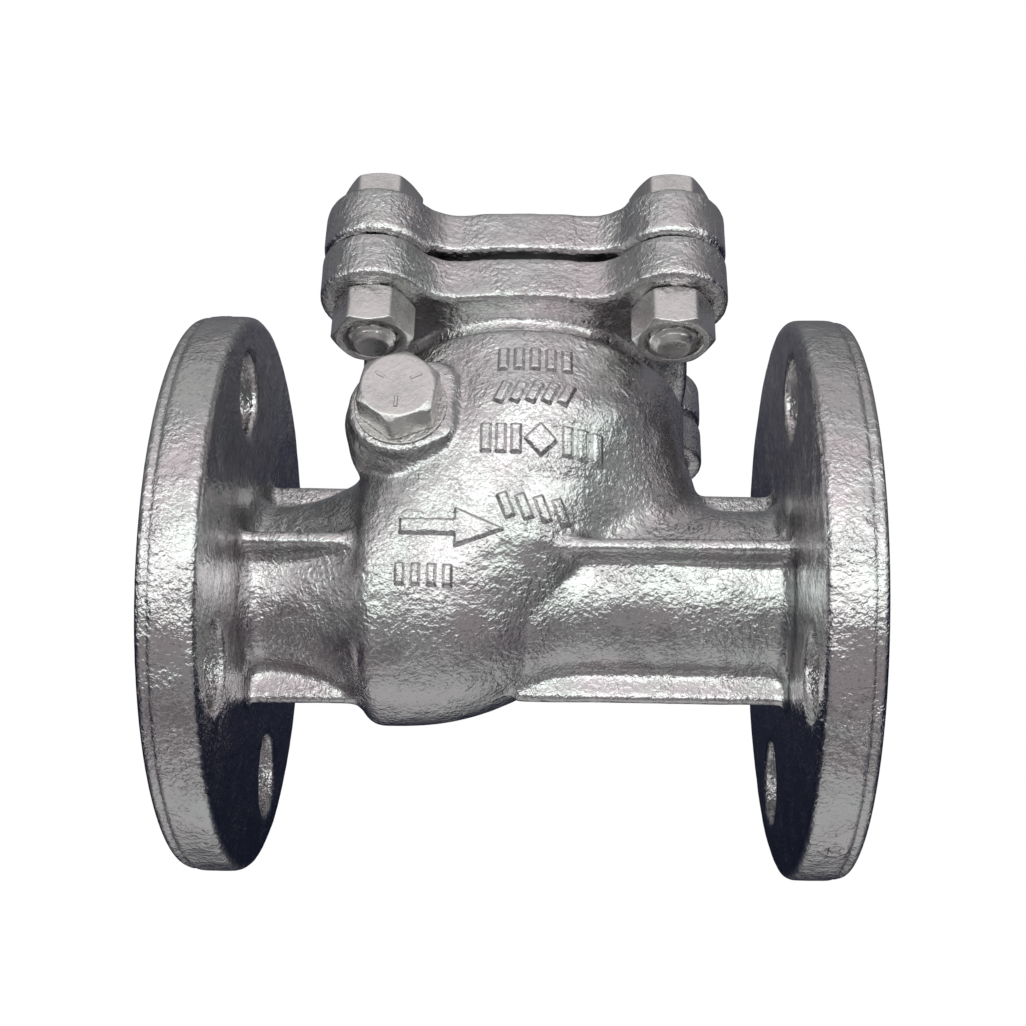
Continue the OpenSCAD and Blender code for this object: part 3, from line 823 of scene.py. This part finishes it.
def painted_casting():
    """Aluminium paint over a sand casting: a glossy peel, flakes that glint, soft tints, and
    painted shade in small pits.
    """
    g = Graph("aluminium_painted_casting")
    peel = g.noise(1.15, 2.0, 0.5, 0.4)
    fine = g.noise(2.6, 2.0, 0.5)
    slow = g.noise(0.06, 2.0, 0.5)
    patch = g.noise(0.16, 3.0, 0.6)
    base = g.blend(g.span(slow, 0.38, 0.62), (0.70, 0.668, 0.68, 1), (0.675, 0.69, 0.68, 1))
    base = g.blend(g.span(patch, 0.45, 0.75, 0.0, 0.45), base, (0.55, 0.54, 0.55, 1))
    # painted shade: dark specks at random stand in for the shade in small pits of the casting; the
    # same specks are also rougher
    pits_painted_shade = g.span(g.noise(1.45, 2.0, 0.6), 0.58, 0.70, 0.0, 0.45)
    base = g.blend(pits_painted_shade, base, (0.30, 0.295, 0.31, 1))
    rough = g.math("ADD", g.span(patch, 0.3, 0.7, 0.09, 0.15), g.math("MULTIPLY", pits_painted_shade, 0.12))
    rugged = g.span(g.noise(0.13, 2.0, 0.6), 0.35, 0.68, 0.40, 1.35)
    height = g.math("ADD", peel, g.math("MULTIPLY", fine, 0.13))
    height = g.math("MULTIPLY", height, rugged)
    normal = g.tilted(g.bump(height, 0.35, 1.0), 2.5, 0.05)
    return g.surface(base, 1.0, rough, normal)


def zinc():
    """Zinc plate under a thin mist of the same paint, with faint blotches and fine scratches."""
    g = Graph("zinc_plated_steel")
    tone = 0.70
    blotch = g.noise(0.22, 3.0, 0.6)
    fine = g.noise(1.5, 3.0, 0.6)
    scratch = g.noise(0.5, 2.0, 0.7, 2.5)
    base = g.blend(g.span(blotch, 0.35, 0.65), grey(tone, 0.01), grey(tone * 1.12, 0.02))
    base = g.blend(g.span(fine, 0.62, 0.75, 0.0, 0.3), base, grey(tone * 0.55))
    rough = g.span(blotch, 0.3, 0.7, 0.20, 0.32)
    height = g.math("ADD", g.math("MULTIPLY", fine, 0.5), scratch)
    return g.surface(base, 1.0, rough, g.tilted(g.bump(height, 0.12, 0.8), 1.9, 0.05))


def turned_steel():
    """Bright turned steel with fine tool marks."""
    g = Graph("turned_steel")
    fine = g.noise(1.1, 3.0, 0.6)
    streak = g.noise(0.35, 2.0, 0.6, 1.0)
    base = g.blend(g.span(streak, 0.35, 0.65), grey(0.52, 0.02), grey(0.60, 0.01))
    rough = g.span(fine, 0.3, 0.7, 0.20, 0.34)
    return g.surface(base, 1.0, rough, g.bump(fine, 0.03, 0.5))


def machined_face():
    """Freshly faced steel: a little darker than the paint, with a thin film of oil."""
    g = Graph("machined_face")
    fine = g.noise(0.9, 3.0, 0.6)
    blotch = g.noise(0.15, 3.0, 0.6)
    base = g.blend(g.span(blotch, 0.35, 0.7), grey(0.50, 0.01), grey(0.40, 0.03))
    rough = g.span(fine, 0.3, 0.7, 0.25, 0.42)
    return g.surface(base, 1.0, rough, g.bump(fine, 0.04, 0.5))


def graphite():
    """Dark graphite sheet."""
    g = Graph("graphite_sheet")
    fine = g.noise(1.6, 3.0, 0.6)
    blotch = g.noise(0.3, 2.0, 0.5)
    base = g.blend(g.span(blotch, 0.35, 0.65), grey(0.035), grey(0.07))
    return g.surface(base, 0.25, g.span(fine, 0.3, 0.7, 0.45, 0.62), g.bump(fine, 0.08, 0.7))


def soft_iron():
    """The plug's sealing ring, under the same mist of paint."""
    g = Graph("soft_iron_ring")
    fine = g.noise(1.2, 2.0, 0.5)
    blotch = g.noise(0.4, 2.0, 0.5)
    base = g.blend(g.span(blotch, 0.35, 0.65), grey(0.66, 0.01), grey(0.56, 0.02))
    return g.surface(base, 1.0, g.span(blotch, 0.3, 0.7, 0.12, 0.22), g.bump(fine, 0.30, 1.0))


def inner_casting():
    """Bare casting, as the arm has it inside the valve."""
    g = Graph("bare_casting")
    sand = g.noise(0.9, 3.0, 0.55)
    fine = g.noise(3.0, 2.0, 0.6)
    blotch = g.noise(0.2, 3.0, 0.6)
    base = g.blend(g.span(blotch, 0.35, 0.65), grey(0.30, 0.02), grey(0.40, 0.03))
    height = g.math("ADD", sand, g.math("MULTIPLY", fine, 0.3))
    return g.surface(base, 0.9, g.span(fine, 0.3, 0.7, 0.35, 0.5), g.bump(height, 0.22, 0.8))


# ---------------------------------------------------------------- the object
PAINT = painted_casting()
ZINC = zinc()
STEEL = turned_steel()
FACED = machined_face()
GRAPHITE = graphite()
IRON = soft_iron()
BARE = inner_casting()

COVER_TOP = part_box("cover_bolt_front_left")[1].z / MM - HEAD_H
BODY = "valve_body"
DISC = "disc_assembly"

casting = dress(cast_body(), BODY, PAINT, "cast_body", "body")
for patch in mark_patches(casting):
    dress(patch, BODY, PAINT, "cast_body")
dress(cast_cover(), BODY, PAINT, "cast_body", "bonnet_cover")
dress(face_ring("inlet_raised_face", BODY_LOW.x, 1), BODY, FACED, "cast_body")
dress(face_ring("outlet_raised_face", BODY_HIGH.x, -1), BODY, FACED, "cast_body")
for side in ("front_left", "front_right", "rear_left", "rear_right"):
    bolt_node, nut_node = "cover_bolt_" + side, "cover_nut_" + side
    dress(bolt("bolt_" + side, bolt_node), BODY, ZINC, "fastener", bolt_node)
    dress(bolt_dashes("bolt_dashes_" + side, bolt_node), BODY, ZINC, "fastener")
    dress(nut("nut_" + side, nut_node), BODY, ZINC, "fastener", nut_node)
plug_head, plug_dashes = plug()
dress(plug_head, BODY, ZINC, "fastener", "hinge_plug")
dress(plug_dashes, BODY, ZINC, "fastener")
dress(refined("plug_gasket", "plug_sealing_ring", 0.3), BODY, IRON, "soft_iron", "plug_gasket")
dress(refined("bonnet_gasket", "cover_gasket", 0.15), BODY, GRAPHITE, "gasket", "bonnet_gasket")
dress(refined("seat_ring", "seat_ring_turned", 0.12), BODY, STEEL, "trim", "seat_ring")
dress(refined("hinge_pin", "hinge_pin_turned", 0.15), "hinge_pin", STEEL, "trim", "hinge_pin")
dress(cast_arm(), "swing_arm", BARE, "arm", "hinge_arm")
dress(refined("disc", "disc_turned", 0.15), DISC, STEEL, "trim", "disc")
dress(refined("disc_washer", "disc_washer_turned", 0.15), DISC, STEEL, "trim", "disc_washer")
dress(refined("disc_nut", "disc_nut_turned", 0.15), DISC, STEEL, "trim", "disc_nut")
dress(refined("split_pin", "split_pin_wire", 0.05), DISC, STEEL, "trim", "split_pin")


# ---------------------------------------------------------------- camera
def photo_camera():
    """Looks from the front and below, from a short distance: the photograph's viewing angle."""
    distance, focal_pixels, image_pixels, sensor = 306.64, 1553.34, 1026, 36.0
    azimuth, elevation = math.radians(1.616), math.radians(-25.992)
    pan, tilt, roll = math.radians(0.184), math.radians(3.007), math.radians(1.416)
    back = Vector((math.sin(azimuth) * math.cos(elevation),
                   -math.cos(azimuth) * math.cos(elevation), math.sin(elevation)))
    aim = Vector((MID_X, 0, 0))
    right = (-back).cross(Vector((0, 0, 1))).normalized()
    up = right.cross(-back)
    base = Matrix((right, up, back)).transposed()
    turn = Matrix.Rotation(roll, 3, "Z") @ Matrix.Rotation(tilt, 3, "X")
    turn = turn @ Matrix.Rotation(pan, 3, "Y")
    cam = link(bpy.data.objects.new("camera", bpy.data.cameras.new("camera")))
    cam.matrix_world = Matrix.Translation((aim + back * distance) * MM) @ (base @ turn).to_4x4()
    cam.data.sensor_width = sensor
    cam.data.lens = focal_pixels / image_pixels * sensor
    cam.data.clip_start, cam.data.clip_end = 0.01, 50
    bpy.context.scene.camera = cam
    return cam


camera = photo_camera()


# ---------------------------------------------------------------- light, floor and background
def area_light(name, place, aim, size, power, color):
    """A soft light that moves with the camera, so that every view is lit alike."""
    light = bpy.data.lights.new(name, "AREA")
    light.shape = "RECTANGLE"
    light.size, light.size_y = size
    light.energy = power
    light.color = color
    obj = link(bpy.data.objects.new(name, light))
    obj.parent = camera
    obj.location = place
    obj.rotation_mode = "QUATERNION"
    obj.rotation_quaternion = (Vector(aim) - Vector(place)).to_track_quat("-Z", "Y")
    obj.visible_camera = False


SUBJECT = (0.0, 0.0, -0.31)
area_light("key_light", (0.03, 0.22, 0.08), SUBJECT, (0.16, 0.08), 0.035, (1.0, 0.98, 0.98))
area_light("left_light", (-0.30, 0.16, 0.00), SUBJECT, (0.08, 0.20), 0.010, (0.98, 1.0, 0.985))

# How bright the room is, by elevation in degrees: behind the camera, and ahead of it
ROOM_BEHIND = (
    (-90, (0.34, 0.34, 0.33)), (-68, (0.34, 0.335, 0.33)), (-47, (0.15, 0.14, 0.145)),
    (-33, (0.34, 0.32, 0.33)), (-16, (0.28, 0.26, 0.27)), (-4, (0.42, 0.41, 0.41)),
    (6, (1.25, 1.32, 1.28)), (16, (1.72, 1.80, 1.75)), (24, (1.35, 1.38, 1.36)),
    (36, (0.78, 0.77, 0.77)), (50, (1.08, 1.01, 1.03)), (62, (1.10, 1.03, 1.05)),
    (72, (0.80, 0.75, 0.77)), (90, (0.42, 0.41, 0.42)))
ROOM_AHEAD = (
    (-90, (0.50, 0.50, 0.50)), (-66, (0.48, 0.48, 0.48)), (-50, (0.22, 0.22, 0.22)),
    (-36, (0.05, 0.052, 0.07)), (-14, (0.008, 0.010, 0.020)), (-2, (0.025, 0.027, 0.045)),
    (12, (0.14, 0.14, 0.16)), (30, (0.17, 0.172, 0.18)), (55, (0.28, 0.275, 0.28)),
    (75, (0.50, 0.49, 0.49)), (90, (0.42, 0.41, 0.42)))
# A colour ramp holds values up to 1, so the room is stored this much darker
ROOM_SCALE = 2


def studio_world():
    """A soft room that turns with the camera: a bright window behind it, deep blue ahead.

    Seen directly it is white.
    """
    world = bpy.data.worlds.new("studio")
    bpy.context.scene.world = world
    world.use_nodes = True
    tree = world.node_tree
    tree.nodes.clear()

    def add(kind, settings=None, *inputs):
        n = tree.nodes.new(kind)
        for key, value in (settings or {}).items():
            setattr(n, key, value)
        for socket, value in zip(n.inputs, inputs):
            if isinstance(value, bpy.types.NodeSocket):
                tree.links.new(value, socket)
            elif value is not None:
                socket.default_value = value
        return n
    coords = add("ShaderNodeTexCoord")
    unit = add("ShaderNodeVectorMath", {"operation": "NORMALIZE"}, coords.outputs["Camera"])
    parts = add("ShaderNodeSeparateXYZ", None, unit.outputs[0])
    angle = add("ShaderNodeMath", {"operation": "ARCSINE"}, parts.outputs["Y"])
    place = add("ShaderNodeMath", {"operation": "MULTIPLY_ADD"}, angle.outputs[0], 1 / math.pi, 0.5)

    def ramp(stops):
        """Colour by elevation."""
        r = add("ShaderNodeValToRGB", None, place.outputs[0])
        elements = r.color_ramp.elements
        while len(elements) < len(stops):
            elements.new(0.5)
        for element, (degrees, color) in zip(elements, stops):
            element.position = degrees / 180 + 0.5
            element.color = (*(v / ROOM_SCALE for v in color), 1)
        r.color_ramp.interpolation = "EASE"
        return r.outputs[0]
    turn = add("ShaderNodeMapRange", {"interpolation_type": "SMOOTHSTEP"}, parts.outputs["Z"],
               -0.88, 0.04)
    mix = add("ShaderNodeMix", {"data_type": "RGBA"})
    tree.links.new(turn.outputs[0], mix.inputs[0])
    tree.links.new(ramp(ROOM_BEHIND), mix.inputs[6])
    tree.links.new(ramp(ROOM_AHEAD), mix.inputs[7])
    room = add("ShaderNodeBackground", None, mix.outputs[2], float(ROOM_SCALE))
    white = add("ShaderNodeBackground", None, (1, 1, 1, 1))
    seen = add("ShaderNodeLightPath").outputs["Is Camera Ray"]
    shader = add("ShaderNodeMixShader", None, seen, room.outputs[0], white.outputs[0])
    add("ShaderNodeOutputWorld", None, shader.outputs[0])


studio_world()


def pale_floor():
    """A wide pale floor just under the flanges: only the camera sees it, and only from above."""
    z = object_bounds()[0].z / MM - 0.05
    half = 2500
    corners = [(-half, -half, z), (half, -half, z), (half, half, z), (-half, half, z)]
    floor = mesh_object("floor", corners, [(0, 1, 2, 3)], False)
    g = Graph("pale_floor")
    grain = g.noise(0.02, 3.0, 0.5)
    paper = g.add("ShaderNodeBsdfDiffuse", None, Color=g.blend(grain, grey(0.86), grey(0.89)))
    clear = g.add("ShaderNodeBsdfTransparent")
    front = g.math("SUBTRACT", 1.0, g.add("ShaderNodeNewGeometry").outputs["Backfacing"])
    seen = g.math("MULTIPLY", front, g.add("ShaderNodeLightPath").outputs["Is Camera Ray"])
    mix = g.add("ShaderNodeMixShader")
    g.put(mix.inputs[0], seen)
    g.put(mix.inputs[1], clear.outputs[0])
    g.put(mix.inputs[2], paper.outputs[0])
    g.put(g.out.inputs["Surface"], mix.outputs[0])
    floor.data.materials.append(g.material)
    floor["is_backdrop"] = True


pale_floor()
bpy.context.scene.view_settings.view_transform = "Standard"
bpy.context.scene.view_settings.look = "None"
